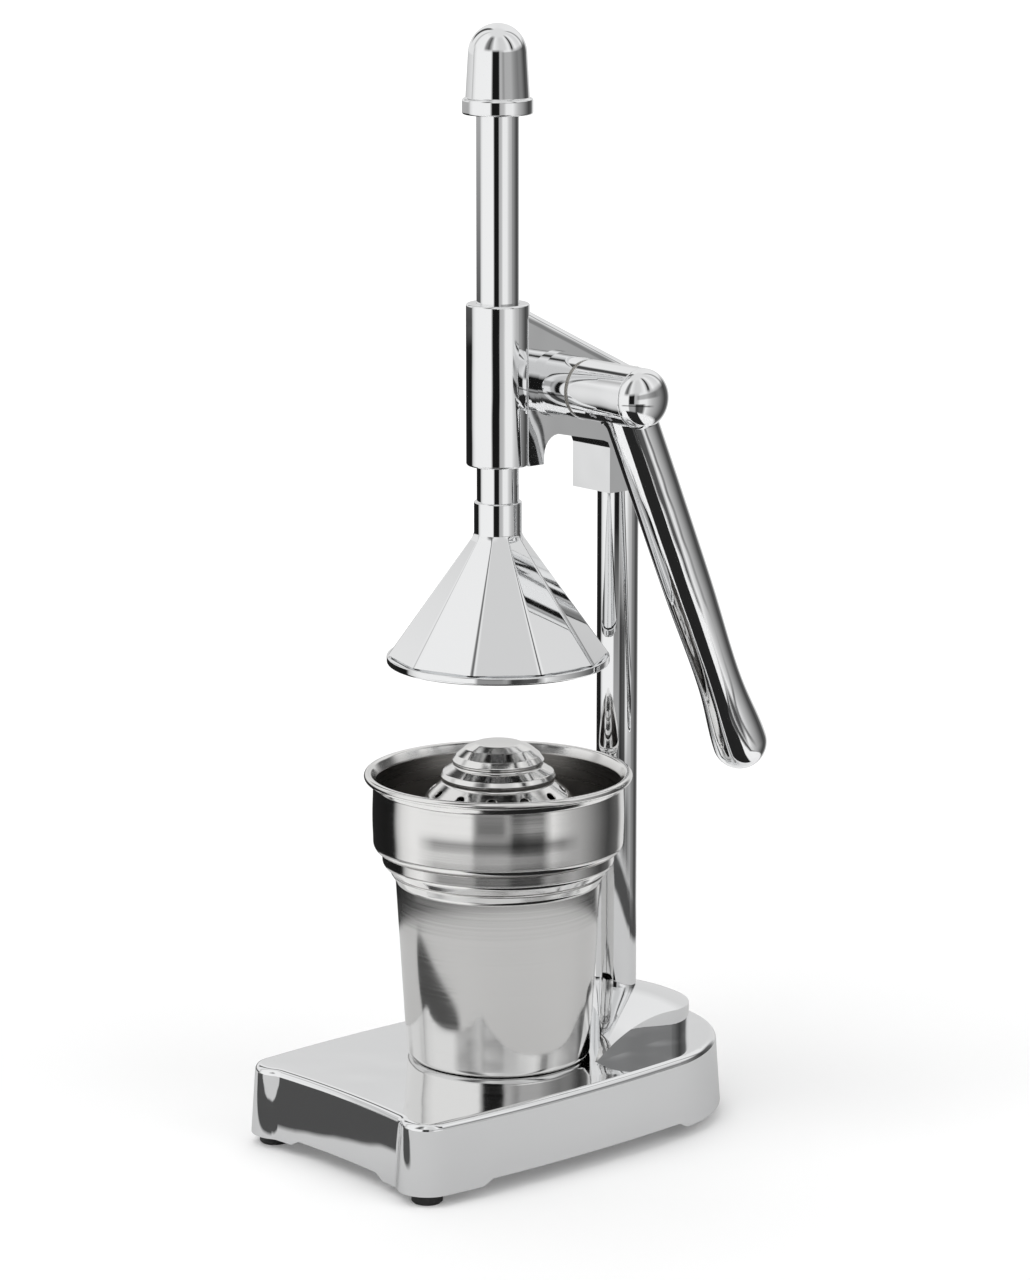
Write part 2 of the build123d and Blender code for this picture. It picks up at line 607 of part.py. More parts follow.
flange_top_z = cap_bottom_z + cap_flange_height
cap_lean = (cap_shoulder_radius - cap_radius, 0, cap_shoulder_z - flange_top_z)
cap_edges = [
    Line((0, 0, cap_bottom_z), (cap_flange_radius, 0, cap_bottom_z)),
    Line((cap_flange_radius, 0, cap_bottom_z), (cap_flange_radius, 0, flange_top_z - 1)),
    ThreePointArc(
        (cap_flange_radius, 0, flange_top_z - 1), (cap_flange_radius - 0.3, 0, flange_top_z - 0.3),
        (cap_flange_radius - 1, 0, flange_top_z)),
    Line((cap_flange_radius - 1, 0, flange_top_z), (cap_radius, 0, flange_top_z)),
    Line((cap_radius, 0, flange_top_z), (cap_shoulder_radius, 0, cap_shoulder_z)),
    Spline([(cap_shoulder_radius, 0, cap_shoulder_z), (0, 0, cap_top_z)], tangents=[cap_lean, (-1, 0, 0)]),
    Line((0, 0, cap_top_z), (0, 0, cap_bottom_z)),
]
cap = turned_edges(cap_edges)
cap -= rod(bar_spigot_radius, (0, 0, cap_bottom_z), (0, 0, cap_bottom_z + bar_spigot_length))
keep("plunger_dome_cap", cap)


def faceted(radius_top, z_top, radius_bottom, z_bottom):
    """Pyramid frustum with an even number of flat sides and an edge at the back and at the front."""
    wires = []
    for radius, z in ((radius_top, z_top), (radius_bottom, z_bottom)):
        corners = []
        for number in range(cone_sides):
            turn = math.radians(90) + 2 * math.pi * number / cone_sides
            corners.append(Vector(radius * math.cos(turn), radius * math.sin(turn), z))
        wires.append(Wire.make_polygon(corners, close=True))
    return Solid.make_loft(wires, ruled=True)


# Press cone: a faceted bell on a round neck, with a round lip
lip_z = cone_rim_z + cone_lip
cone_slope = (cone_radius - cone_neck_radius) / (cone_neck_bottom_z - lip_z)
inner_shift = cone_wall * math.sqrt(1 + cone_slope ** 2)
cone = faceted(cone_neck_radius, cone_neck_bottom_z, cone_radius, lip_z)
cone += rod(cone_neck_radius, (0, 0, cone_neck_bottom_z - 2), (0, 0, cone_neck_top_z))
cone += rod(cone_radius, (0, 0, cone_rim_z), (0, 0, lip_z))
flat_share = math.cos(math.pi / cone_sides)
ceiling_r = cone_neck_radius + (cone_neck_bottom_z - cone_ceiling_z) * cone_slope
bell_top_r = ceiling_r * flat_share - inner_shift
bell_lip_r = cone_radius * flat_share - inner_shift
cone -= turned((
    (0, cone_ceiling_z), (bell_top_r, cone_ceiling_z), (bell_lip_r, lip_z),
    (bell_lip_r + 1.0, cone_rim_z - 1), (0, cone_rim_z - 1)))
cone -= rod(cone_spigot_radius, (0, 0, cone_ceiling_z - 1), (0, 0, cone_neck_top_z + 1))
keep("press_cone", cone)
cone_washer_z = cone_ceiling_z - screw_washer
cone_washer = rod(bell_top_r - 1.5, (0, 0, cone_washer_z), (0, 0, cone_ceiling_z))
cone_washer -= rod(cone_screw_radius, (0, 0, 0), (0, 0, far))
keep("press_cone_washer", cone_washer)
cone_screw = rod(screw_head_radius, (0, 0, cone_washer_z - screw_head_height), (0, 0, cone_washer_z))
cone_screw = fillet(cone_screw.edges().group_by(Axis.Z)[0], 1.2)
cone_screw += rod(cone_screw_radius, (0, 0, cone_washer_z), (0, 0, cone_ceiling_z + 12))
cone_screw -= slab(-far, far, -0.6, 0.6, 0, cone_washer_z - 0.7 * screw_head_height)
keep("press_cone_screw", cone_screw)

# Cup: a thin tapered tumbler with a flared mouth
cup_foot_z = deck_z + cup_foot_fillet
cup_inner_foot_r = cup_bottom_radius - cup_foot_fillet - cup_wall
cup_lip_r = cup_rim_radius - 1.6 * cup_wall
cup_lean = Vector(cup_top_radius - cup_bottom_radius, 0, cup_neck_z - cup_foot_z)
flare = Vector(0.7, 0, 1)
cup_edges = [
    Line((0, 0, deck_z), (cup_bottom_radius - cup_foot_fillet, 0, deck_z)),
    Line((cup_bottom_radius - cup_foot_fillet, 0, deck_z), (cup_bottom_radius, 0, cup_foot_z)),
    Line((cup_bottom_radius, 0, cup_foot_z), (cup_top_radius, 0, cup_neck_z)),
    Spline([(cup_top_radius, 0, cup_neck_z), (cup_rim_radius, 0, cup_rim_z)], tangents=[cup_lean, flare]),
    Line((cup_rim_radius, 0, cup_rim_z), (cup_lip_r, 0, cup_rim_z)),
    Spline([(cup_lip_r, 0, cup_rim_z), (cup_top_radius - cup_wall, 0, cup_neck_z)],
           tangents=[-flare, -cup_lean]),
    Line((cup_top_radius - cup_wall, 0, cup_neck_z),
         (cup_bottom_radius - cup_wall, 0, cup_foot_z + cup_wall)),
    Line((cup_bottom_radius - cup_wall, 0, cup_foot_z + cup_wall), (cup_inner_foot_r, 0, deck_z + cup_wall)),
    Line((cup_inner_foot_r, 0, deck_z + cup_wall), (0, 0, deck_z + cup_wall)),
    Line((0, 0, deck_z + cup_wall), (0, 0, deck_z)),
]
keep("juice_cup", turned_edges(cup_edges))

# Strainer bowl: a straight wall with a rolled rim, seamed to the floor below
rim_low_z = bowl_rim_z - 2.5 * bowl_bead_radius
bowl_inner_r = bowl_radius - bowl_wall
bend = 0.3 * bowl_corner
bead = 0.4 * bowl_bead_radius
seam_z = floor_top_z + bowl_corner
bowl = turned((
    (bowl_radius, seam_z), (bowl_radius, rim_low_z), (bowl_rim_radius, bowl_rim_z - bead),
    (bowl_rim_radius, bowl_rim_z + bead), (bowl_inner_r, rim_low_z + bowl_bead_radius),
    (bowl_inner_r, seam_z)))
bowl += Pos(0, 0, bowl_rim_z) * Torus(bowl_rim_radius, bowl_bead_radius)
keep("strainer_bowl", bowl)

# Strainer floor: a pressed ring with a rounded corner, a drain, and a stepped skirt that sits in the cup
floor = turned((
    (bowl_drain_radius, bowl_floor_z), (bowl_radius - bowl_corner, bowl_floor_z),
    (bowl_radius - bend, bowl_floor_z + bend), (bowl_radius, bowl_floor_z + bowl_corner),
    (bowl_radius, seam_z), (bowl_inner_r, seam_z), (bowl_inner_r - bend, floor_top_z + bend),
    (bowl_inner_r - bowl_corner, floor_top_z), (bowl_drain_radius, floor_top_z)))
step_top_z = bowl_floor_z + bowl_wall / 2
step_low_z = cup_rim_z + bowl_step_height
step_inner_r = bowl_step_radius - bowl_wall
ledge_r = cup_rim_radius - 0.4
skirt_inner_r = bowl_skirt_radius - bowl_wall
floor += turned((
    (bowl_step_radius, step_top_z), (bowl_step_radius, step_low_z), (ledge_r, cup_rim_z),
    (bowl_skirt_radius, cup_rim_z), (bowl_skirt_radius, bowl_skirt_z), (skirt_inner_r, bowl_skirt_z),
    (skirt_inner_r, cup_rim_z + bowl_wall), (ledge_r - 0.7 * bowl_wall, cup_rim_z + bowl_wall),
    (step_inner_r, step_low_z + 0.7 * bowl_wall), (step_inner_r, step_top_z)))
keep("strainer_floor", floor)

# Reamer: a thin stepped dome with rows of drain holes
foot_r = reamer_outline[0][0]
outer = [(r, floor_top_z + rise) for r, rise in reamer_outline]
inner = [(r - reamer_wall, z - 0.3 * reamer_wall) for r, z in outer[:-1]]
top_r, top_z = outer[-1]
shell = [(reamer_foot_radius, floor_top_z), (reamer_foot_radius, floor_top_z + reamer_wall)]
shell += [(foot_r, floor_top_z + reamer_wall)] + outer + [(0, reamer_top_z)]
shell += [(0, reamer_top_z - reamer_wall), (top_r - 0.4 * reamer_wall, top_z - reamer_wall)]
shell += inner[::-1] + [(foot_r - reamer_wall, floor_top_z)]
reamer = turned(shell)
for count, radius, rise, turn in zip(drain_counts, drain_radii, drain_heights, drain_turns):
    z = floor_top_z + rise
    for number in range(count):
        angle = math.radians(turn + 360 * number / count)
        outward = Vector(math.cos(angle), math.sin(angle), drain_lean)
        hole = Plane((0, 0, z - drain_lean * foot_r), z_dir=outward) * RegularPolygon(radius, drain_corners)
        reamer -= extrude(hole, amount=2 * reamer_foot_radius)
keep("reamer_dome", reamer)

for name, shape in pieces.items():
    export_step(shape, f"parts/{name}.step")
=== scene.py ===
# %% [markdown]
# # Citrus press juicer
# The lever turns a small gear, the gear drives a rack on the plunger bar, and a faceted cone
# presses half a fruit onto a reamer that stands in a strainer over a cup.
# The CAD model already holds every piece in its place. This lesson gives the pieces that catch
# the eye a finer surface, and gives every piece a finish.
# Turned pieces are easiest to describe from their axis, so our own sizes are millimetres from
# the foot of the press axis, which is read from the CAD box of the plunger's cap.

# %% Load the CAD frame
import json
import bpy
import numpy as np
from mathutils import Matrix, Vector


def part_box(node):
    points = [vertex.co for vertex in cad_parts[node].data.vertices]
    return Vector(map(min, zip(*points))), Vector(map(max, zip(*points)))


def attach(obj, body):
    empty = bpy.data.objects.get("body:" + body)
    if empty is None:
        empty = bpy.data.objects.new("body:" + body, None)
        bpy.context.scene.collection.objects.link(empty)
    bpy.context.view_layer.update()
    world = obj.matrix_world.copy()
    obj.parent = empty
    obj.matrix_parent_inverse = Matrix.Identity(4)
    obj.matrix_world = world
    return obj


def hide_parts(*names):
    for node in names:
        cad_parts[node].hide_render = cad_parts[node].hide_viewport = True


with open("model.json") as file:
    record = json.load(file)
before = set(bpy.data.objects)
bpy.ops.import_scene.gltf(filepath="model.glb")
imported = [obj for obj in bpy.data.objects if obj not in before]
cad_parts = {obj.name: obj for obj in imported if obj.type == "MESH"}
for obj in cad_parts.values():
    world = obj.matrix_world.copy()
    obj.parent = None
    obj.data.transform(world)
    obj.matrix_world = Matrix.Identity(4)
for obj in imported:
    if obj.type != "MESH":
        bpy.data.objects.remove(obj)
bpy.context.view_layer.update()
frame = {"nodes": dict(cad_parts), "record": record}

cap_low, cap_high = (np.array(corner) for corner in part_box("plunger_dome_cap"))
press_axis = np.append((cap_low[:2] + cap_high[:2]) / 2, 0.0)
MM = 0.001

# %% [markdown]
# ## Grids that become meshes
# A curved piece could be modelled by hand or carved from primitives. Here each one is a formula
# of two parameters worked out on a whole grid of points, so its curves are exact and a size can be
# changed in one place. Neighbouring grid points make four-sided faces, and points that fall in
# one place are merged, which closes poles and seams.

# %% Grid and object helpers
def surface(grid, around=False, along=False):
    """Points (rows, columns, 3) and the corner numbers of their cells.

    Cell (i, j) joins points (i, j), (i, j + 1), (i + 1, j + 1) and (i + 1, j).
    around joins the last column to the first, and along joins the last row to the first.
    """
    grid = np.asarray(grid, float)
    if around:
        grid = np.concatenate([grid, grid[:, :1]], axis=1)
    if along:
        grid = np.concatenate([grid, grid[:1]], axis=0)
    number = np.arange(grid.shape[0] * grid.shape[1]).reshape(grid.shape[:2])
    corners = [number[:-1, :-1], number[:-1, 1:], number[1:, 1:], number[1:, :-1]]
    return grid.reshape(-1, 3), np.stack(corners, axis=-1).reshape(-1, 4)


def make_mesh(name, parts, crease=38.0):
    """One mesh from several surfaces: points in one place become one, thin cells become triangles."""
    starts = np.cumsum([0] + [len(points) for points, _ in parts])
    points = np.concatenate([points for points, _ in parts])
    cells = np.concatenate([corners + start for (_, corners), start in zip(parts, starts)])
    places = np.round(points, 4) + 0.0
    _, first, number = np.unique(places, axis=0, return_index=True, return_inverse=True)
    cells = number.reshape(-1)[cells]
    same = cells == np.roll(cells, -1, axis=1)
    faces = cells[~same.any(axis=1)].tolist()
    for k in range(4):
        faces += np.delete(cells[same[:, k] & (same.sum(axis=1) == 1)], k, axis=1).tolist()
    mesh = bpy.data.meshes.new(name)
    mesh.from_pydata((points[first] * MM + press_axis).tolist(), [], faces)
    mesh.shade_smooth()
    mesh.set_sharp_from_angle(angle=np.radians(crease))
    return mesh


def add_piece(name, parts, finish, body, slot, *nodes):
    """An object at the origin that rides on a body and stands for one or more CAD nodes."""
    piece = bpy.data.objects.new(name, make_mesh(name, parts))
    bpy.context.scene.collection.objects.link(piece)
    piece.data.materials.append(finish)
    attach(piece, body)
    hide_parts(*nodes)
    print(name, len(piece.data.vertices), "points,", len(piece.data.polygons), "faces")
    return piece


# %% [markdown]
# ## Profiles with rounded corners
# Sheet metal and castings have no knife edges: each corner turns on a small radius, and that
# radius is what draws the bright line along an edge. A Bevel modifier could do it afterwards, but
# on a turned piece it is simpler to round the profile itself. A point is added just before and
# after every arc, so that the smooth shading of the arc doesn't leak into the flats beside it.

# %% Profile and lathe helpers
NEARLY_STRAIGHT = 1.55


def rounded(corners, steps=7):
    """Polyline through (radius, height, corner radius): each corner turns on an arc of that radius.

    The arc leaves each side at corner radius / tan(half the angle) from the corner.
    """
    corners = np.array(corners, float)
    path = [corners[:1, :2]]
    for before, corner, after in zip(corners[:-2], corners[1:-1], corners[2:]):
        place, radius = corner[:2], corner[2]
        a = (before[:2] - place) / np.linalg.norm(before[:2] - place)
        b = (after[:2] - place) / np.linalg.norm(after[:2] - place)
        half = np.arccos(np.clip(a @ b, -1, 1)) / 2
        if radius == 0 or half > NEARLY_STRAIGHT:
            path.append(place[None])
            continue
        reach = radius / np.tan(half)
        centre = place + (a + b) / np.linalg.norm(a + b) * radius / np.sin(half)
        start = np.arctan2(*(place + a * reach - centre)[::-1])
        sweep = np.arctan2(*(place + b * reach - centre)[::-1]) - start
        sweep = (sweep + np.pi) % (2 * np.pi) - np.pi
        angle = start + sweep * np.linspace(0, 1, steps + 1)
        arc = centre + radius * np.stack([np.cos(angle), np.sin(angle)], axis=-1)
        support = 0.1 * radius
        path += [(arc[0] + a * support)[None], arc, (arc[-1] + b * support)[None]]
    return np.concatenate(path + [corners[-1:, :2]])


def turned(profile, count=128):
    """Profile (radius, height) turned about the press axis: (r cos t, r sin t, z)."""
    t = np.linspace(0, 2 * np.pi, count, endpoint=False)
    r, z = np.asarray(profile, float).T[:, :, None]
    return np.stack([r * np.cos(t), r * np.sin(t), z + 0 * t], axis=-1)


def quarter(radius, height, start, steps=20):
    """Quarter ellipse from the rim (radius, start) to the pole (0, start + height)."""
    t = np.linspace(0, np.pi / 2, steps + 1)
    return np.stack([radius * np.cos(t), start + height * np.sin(t)], axis=-1)


# %% [markdown]
# ## Shared surface effects
# Two marks of manufacture show on this press. Buffing by hand leaves slow, shallow waves and
# a faint haze on the chromed castings. Spinning a sheet over a former leaves fine rings on the cup and
# strainer. Each is a node group that gives out a mask and a height, so that several
# materials can share it, while the shader itself stays in each material.

# %% Node helpers
def feed(tree, socket, value):
    """Give an input its value: a number is set on it, and an output is linked to it."""
    if isinstance(value, (int, float)):
        socket.default_value = value
    else:
        tree.links.new(value, socket)


def math_node(tree, kind, a, b):
    """Math node of two inputs, where an input is a socket or a number."""
    node = tree.nodes.new("ShaderNodeMath")
    node.operation = kind
    feed(tree, node.inputs[0], a)
    feed(tree, node.inputs[1], b)
    return node.outputs[0]


def noise(tree, place, scale, detail=2.0):
    """Noise texture on a vector socket, with its scale in cells a metre."""
    texture = tree.nodes.new("ShaderNodeTexNoise")
    texture.inputs["Scale"].default_value = scale
    texture.inputs["Detail"].default_value = detail
    tree.links.new(place, texture.inputs["Vector"])
    return texture.outputs["Fac"]


def new_group(name, outputs):
    """Empty shader node group with a Place vector input and some number outputs."""
    group = bpy.data.node_groups.new(name, "ShaderNodeTree")
    group.interface.new_socket("Place", in_out="INPUT", socket_type="NodeSocketVector")
    for label in outputs:
        group.interface.new_socket(label, in_out="OUTPUT", socket_type="NodeSocketFloat")
    return group, group.nodes.new("NodeGroupInput"), group.nodes.new("NodeGroupOutput")


# %% Node groups for buffing waves and spinning rings
# Scales in cells a metre: the waves are about 24 mm long and the rings finer than a millimetre.
WAVES, HAZE, RING_LINES = 42.0, 420.0, 1400.0
HAZE_DEPTH = 0.004

buffed, entry, leave = new_group("buffing_waves", ("Haze", "Height"))
slow = noise(buffed, entry.outputs["Place"], WAVES, 1.0)
fine = noise(buffed, entry.outputs["Place"], HAZE, 3.0)
buffed.links.new(math_node(buffed, "MULTIPLY", slow, fine), leave.inputs["Haze"])
grain = math_node(buffed, "MULTIPLY", fine, HAZE_DEPTH)
buffed.links.new(math_node(buffed, "ADD", slow, grain), leave.inputs["Height"])

rings, entry, leave = new_group("spinning_rings", ("Lines", "Height"))
centre = rings.nodes.new("ShaderNodeVectorMath")
centre.operation = "SUBTRACT"
centre.inputs[1].default_value = press_axis
rings.links.new(entry.outputs["Place"], centre.inputs[0])
split = rings.nodes.new("ShaderNodeSeparateXYZ")
rings.links.new(centre.outputs[0], split.inputs[0])
square_x = math_node(rings, "MULTIPLY", split.outputs["X"], split.outputs["X"])
square_y = math_node(rings, "MULTIPLY", split.outputs["Y"], split.outputs["Y"])
reach = math_node(rings, "SQRT", math_node(rings, "ADD", square_x, square_y), 0.0)
flat = rings.nodes.new("ShaderNodeCombineXYZ")
rings.links.new(reach, flat.inputs["X"])
rings.links.new(split.outputs["Z"], flat.inputs["Z"])
lines = noise(rings, flat.outputs[0], RING_LINES, 3.0)
rings.links.new(lines, leave.inputs["Lines"])
rings.links.new(lines, leave.inputs["Height"])
print("node groups:", [group.name for group in bpy.data.node_groups])

# %% [markdown]
# ## Finishes
# Bright chrome on the castings and rods, polished stainless sheet on the cup and strainer, plain
# steel for the works, black rubber feet and a nylon washer made dark as painted shade for the
# shadowed gap it sits in. Metals get their look from what they mirror, so their nodes vary only the
# sharpness of that mirror and, very slightly, its flatness. Constants sit directly on the shader.

# %% Material helpers
MASK_LOW, MASK_HIGH = 0.15, 0.6
SKIN_STRENGTH = 0.4


def metal(name, colour, group, mask, rough, bump):
    """Mirror-like metal: a mask spreads the roughness, and a height ripples the mirror a little.

    rough is the roughness where the mask is low and high, and bump the strength and depth of the ripple.
    """
    material = bpy.data.materials.new(name)
    material.use_nodes = True
    tree = material.node_tree
    shader = tree.nodes["Principled BSDF"]
    shader.inputs["Base Color"].default_value = (*colour, 1.0)
    shader.inputs["Metallic"].default_value = 1.0
    place = tree.nodes.new("ShaderNodeTexCoord")
    effect = tree.nodes.new("ShaderNodeGroup")
    effect.node_tree = group
    tree.links.new(place.outputs["Object"], effect.inputs["Place"])
    spread = tree.nodes.new("ShaderNodeMapRange")
    spread.inputs["From Min"].default_value = MASK_LOW
    spread.inputs["From Max"].default_value = MASK_HIGH
    spread.inputs["To Min"].default_value = rough[0]
    spread.inputs["To Max"].default_value = rough[1]
    tree.links.new(effect.outputs[mask], spread.inputs["Value"])
    tree.links.new(spread.outputs["Result"], shader.inputs["Roughness"])
    ripple = tree.nodes.new("ShaderNodeBump")
    ripple.inputs["Strength"].default_value = bump[0]
    ripple.inputs["Distance"].default_value = bump[1]
    tree.links.new(effect.outputs["Height"], ripple.inputs["Height"])
    tree.links.new(ripple.outputs["Normal"], shader.inputs["Normal"])
    return material


def soft(name, dark, light, scale, rough, depth):
    """Rubber or plastic: a fine noise mixes two shades and roughens the skin."""
    material = bpy.data.materials.new(name)
    material.use_nodes = True
    tree = material.node_tree
    shader = tree.nodes["Principled BSDF"]
    shader.inputs["Roughness"].default_value = rough
    place = tree.nodes.new("ShaderNodeTexCoord")
    grain = noise(tree, place.outputs["Object"], scale, 4.0)
    blend = tree.nodes.new("ShaderNodeValToRGB")
    blend.color_ramp.elements[0].color = (*dark, 1.0)
    blend.color_ramp.elements[1].color = (*light, 1.0)
    tree.links.new(grain, blend.inputs["Fac"])
    tree.links.new(blend.outputs["Color"], shader.inputs["Base Color"])
    skin = tree.nodes.new("ShaderNodeBump")
    skin.inputs["Strength"].default_value = SKIN_STRENGTH
    skin.inputs["Distance"].default_value = depth
    tree.links.new(grain, skin.inputs["Height"])
    tree.links.new(skin.outputs["Normal"], shader.inputs["Normal"])
    return material


# %% A finish for every slot
CHROME_COLOUR = (0.87, 0.875, 0.88)
STAINLESS_COLOUR = (0.80, 0.795, 0.785)
chrome = metal("drawn_chrome", CHROME_COLOUR, buffed, "Haze", (0.02, 0.07), (0.15, 0.0001))
cast_chrome = metal("cast_chrome", CHROME_COLOUR, buffed, "Haze", (0.03, 0.08), (0.8, 0.00045))
stainless = metal("spun_stainless", STAINLESS_COLOUR, rings, "Lines", (0.05, 0.13), (0.06, 0.00002))
steel = metal("plain_steel", (0.52, 0.52, 0.53), buffed, "Haze", (0.22, 0.42), (0.5, 0.0001))
rubber = soft("foot_rubber", (0.008, 0.008, 0.008), (0.03, 0.03, 0.03), 1500.0, 0.72, 0.0001)
# The washer's dark shades stand in for the shadow in its gap: painted shade.
nylon = soft("washer_nylon_painted_shade", (0.16, 0.15, 0.14), (0.34, 0.33, 0.30), 700.0, 0.45, 0.00003)
finish_of_slot = {
    "chrome": chrome, "stainless": stainless, "plain_steel": steel, "foot_rubber": rubber, "nylon": nylon,
}
for name, node in frame["nodes"].items():
    for held in node.material_slots:
        held.material = finish_of_slot[held.material.name.split(".")[0]]
        if name in ("base_casting", "head_casting"):
            held.material = cast_chrome
print("finishes:", sorted(finish_of_slot))

# %% [markdown]
# The inside of the strainer is left rougher than the outside, and it is also greyed as painted shade
# for the dark that the inside mirrors. The stainless finish reads a mark from the points of a piece:
# where it is 1, the sheet is rougher and greyer, and the grey is painted shade. A piece without the
# mark reads 0 and is bright all over.

# %% Dull sheet, greyed inside as painted shade
# The darker colour inside the strainer is painted shade; the extra roughness is the dull sheet.
INSIDE_SHADE_COLOUR, DULL_ROUGHNESS = (0.30, 0.29, 0.28, 1.0), 0.18
tree = stainless.node_tree
shader = tree.nodes["Principled BSDF"]
mark = tree.nodes.new("ShaderNodeAttribute")
mark.attribute_name = "dull_and_shade"
greyed = tree.nodes.new("ShaderNodeMix")
greyed.data_type = "RGBA"
greyed.inputs["A"].default_value = (*STAINLESS_COLOUR, 1.0)
greyed.inputs["B"].default_value = INSIDE_SHADE_COLOUR
tree.links.new(mark.outputs["Fac"], greyed.inputs["Factor"])
tree.links.new(greyed.outputs["Result"], shader.inputs["Base Color"])
polish = shader.inputs["Roughness"].links[0].from_socket
rougher = math_node(tree, "MULTIPLY", mark.outputs["Fac"], DULL_ROUGHNESS)
tree.links.new(math_node(tree, "ADD", polish, rougher), shader.inputs["Roughness"])
print("mark read by the stainless finish:", mark.attribute_name)

# %% [markdown]
# ## Plunger cap
# The cap on top of the bar is a small turned and chromed dome on a flange; it stops the bar
# from dropping through the sleeve. It is a lathe piece: a flange with rounded edges, a slightly
# tapered side and a quarter ellipse that runs into the pole.

# %% Cap
cap_z, cap_top = cap_low[2] / MM, cap_high[2] / MM
FLANGE_R, CROWN_R = 12.4, 10.3
crown_z = cap_z + 20.7
side = rounded([(0, cap_z, 0), (FLANGE_R, cap_z, 0.7), (FLANGE_R, cap_z + 5.6, 0.9),
                (11.2, cap_z + 5.6, 0.35), (CROWN_R, crown_z, 0)])
crown = quarter(CROWN_R, cap_top - crown_z, crown_z)
add_piece("plunger_cap", [surface(turned(np.concatenate([side, crown[1:]]), 96), around=True)],
          chrome, "plunger", "chrome", "plunger_dome_cap")

# %% [markdown]
# ## Press cone
# The bell that comes down on the fruit is a casting with ten flat sides, a round lip and a
# round neck. Ground and buffed facets never meet in a sharp line: narrow rounded strips
# run down between them. A cone with ten segments would have sharp edges and a Bevel would pinch at
# the neck, so the plan is a rounded decagon whose size shrinks up the bell.

# %% Cone
cone_low, cone_high = (np.array(corner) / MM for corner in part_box("press_cone"))
CONE_R, NECK_R = 39.6, 8.5
LIP, NECK_RISE = 2.8, 46.3


def decagon(turn, share=0.14):
    """Radius of a ten-sided plan, with corners at 1 and edges rounded to share of that.

    On a flat, radius = a / cos(d), where d is the angle from the middle of the side and a its distance.
    At an edge it is the far side of a circle of radius share: D cos(e) + sqrt(share^2 - D^2 sin^2(e)).
    """
    step = np.pi / 5
    d = (turn - np.pi / 2) % step - step / 2
    a = np.cos(step / 2)
    far = (a - share) / np.cos(step / 2)
    e = step / 2 - np.abs(d)
    edge = far * np.cos(e) + np.sqrt(np.maximum(share ** 2 - (far * np.sin(e)) ** 2, 0))
    return np.where(a * np.tan(np.abs(d)) < far * np.sin(step / 2), a / np.cos(d), edge)


# Columns in degrees from the middle of a side, closer together on the rounded edge at 18 degrees.
half_side = np.array([0, 6, 11, 14.6, 15.3, 15.9, 16.5, 17.1, 17.6])
one_side = np.concatenate([[-18.0], -half_side[:0:-1], half_side])
plan = np.radians(90 + 18 + (36.0 * np.arange(10)[:, None] + one_side)).ravel()
low, top = cone_low[2], cone_high[2]
lip, neck = low + LIP, low + NECK_RISE
inside = rounded([(0, neck - 7.3, 0), (9.85, neck - 7.3, 1.2), (34.47, lip, 2.0), (35.3, low, 0.6),
                  (CONE_R, low, 0.8), (CONE_R, lip, 0.5), (38.2, lip, 0)])
# Rows as shares of the way from the lip to the neck, closer together at both ends.
rise = np.array([0.012, 0.03, 0.25, 0.5, 0.75, 0.9, 0.955, 0.975])
facets = np.stack([CONE_R + (NECK_R - CONE_R) * rise, lip + (neck - lip) * rise], axis=-1)
throat = rounded([(9.4, neck - 1.2, 0), (NECK_R, neck + 0.4, 1.6), (NECK_R, top, 0.5), (0, top, 0)])
profile = np.concatenate([inside, facets, throat[1:]])
# The lip and the neck stay round, and the row on top of the lip is on its way to the facets.
faceted = np.zeros(len(profile))
faceted[len(inside):len(inside) + len(facets)] = 1.0
faceted[len(inside) - 1] = 0.8
radius = profile[:, :1] * (1 + faceted[:, None] * (decagon(plan) - 1))
bell = np.stack([radius * np.cos(plan), radius * np.sin(plan), profile[:, 1:] + 0 * plan], axis=-1)
add_piece("press_bell", [surface(bell, around=True)], chrome, "plunger", "chrome", "press_cone")

# %% [markdown]
# ## Lever
# The lever is one chromed forging: a hub on the shaft, and a round arm that thins a little and
# swells to a bulb for the hand. The hub and its end dome are turned about the pivot, and the arm
# is turned about its own leaning axis. At the root the arm spreads onto the hub, so its first
# rows follow the line where the two meet. Two small set screws sit in blind holes under the hub.

# %% Round holes in a surface
def holed_cell(half_u, half_v, stretch, hole, counts):
    """Plan of a cell with a round hole: rows run from the cell's border in to the hole's rim.

    The border is walked to the left, counts gives its points along u and v, stretch is the
    length of one unit of u, and every border point meets the rim point in its own direction.
    """
    u = np.linspace(-1, 1, counts[0] + 1)[:-1]
    v = np.linspace(-1, 1, counts[1] + 1)[:-1]
    border_u = np.concatenate([u, 1 + 0 * v, -u, -1 + 0 * v]) * half_u
    border_v = np.concatenate([-1 + 0 * u, v, 1 + 0 * u, -v]) * half_v
    angle = np.arctan2(border_v, border_u * stretch)
    border = np.stack([border_u, border_v], axis=-1)
    rim = hole * np.stack([np.cos(angle) / stretch, np.sin(angle)], axis=-1)
    share = np.array([0, 0.3, 0.6, 0.82, 0.95, 1.0])[:, None, None]
    return border * (1 - share) + rim * share


# %% Hub with two screw holes
pivot = np.array(frame["record"]["behaviour"]["joints"][0]["pos_m"]) / MM - press_axis / MM
HUB_R, HUB_START, HUB_END = 10.6, 26.1, 53.0
SCREW_X, SCREW_R, SCREW_DEPTH = (37.0, 45.0), 1.6, 0.8
SCREW_TURN = np.radians(222)
CELL_TURN, CELL_X = np.pi / 12, 4.0


def about_pivot(turn, x, radius):
    """Point at a distance from the pivot's axis: (x, y + r cos t, z + r sin t)."""
    y = pivot[1] + radius * np.cos(turn)
    z = pivot[2] + radius * np.sin(turn)
    return np.stack([x + 0 * turn, y, z], axis=-1)


def hub_rows(profile, count=96):
    """Profile (radius, x) turned about the pivot's axis."""
    turn = np.linspace(0, 2 * np.pi, count, endpoint=False) + SCREW_TURN - CELL_TURN
    r, x = profile.T[:, :, None]
    return about_pivot(turn + 0 * x, x, r + 0 * turn)


